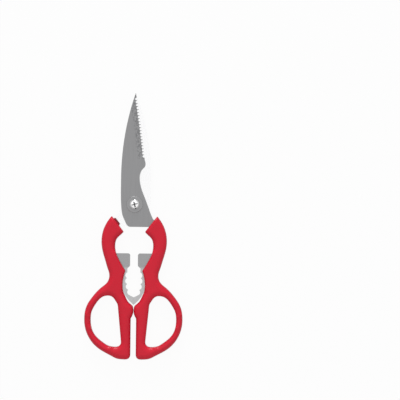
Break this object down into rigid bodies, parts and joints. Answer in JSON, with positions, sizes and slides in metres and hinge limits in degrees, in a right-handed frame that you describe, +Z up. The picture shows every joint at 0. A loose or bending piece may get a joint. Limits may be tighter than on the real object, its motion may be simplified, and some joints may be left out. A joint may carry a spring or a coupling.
{
  "type": "poultry shears",
  "caption": "Kitchen poultry shears with a saw-toothed, notched front blade, moulded loop handles, a jar grip, opener tabs and a toothed nut-cracker mouth on one pivot screw.",
  "frame": {"origin": "on the surface that the handles rest on, under the middle of the overall length and width", "axes": "+Y along the closed blades towards the tips, +X to the right seen from the screw's head, +Z up along the pivot screw"},
  "size_m": [0.0774, 0.21, 0.01],
  "materials": {
    "blade_steel": "satin, brushed along the blade",
    "rear_blade_steel": "fine satin, bright inner side",
    "handle_plastic": "smooth red, half gloss",
    "screw_metal": "bright plated",
    "washer_steel": "satin"
  },
  "bodies": {
    "rear_half": {"rear_blade": "rear_blade_steel", "rear_handle": "handle_plastic", "pivot_screw": "screw_metal", "pivot_washer": "washer_steel", "pivot_nut": "screw_metal"},
    "front_half": {"front_blade": "blade_steel", "front_handle": "handle_plastic"}
  },
  "joints": [
    {"name": "pivot", "type": "hinge", "parent": "rear_half", "child": "front_half", "pos_m": [0, 0.0173, 0.005], "axis": [0, 0, 1], "range_deg": [0, 78]}
  ]
}
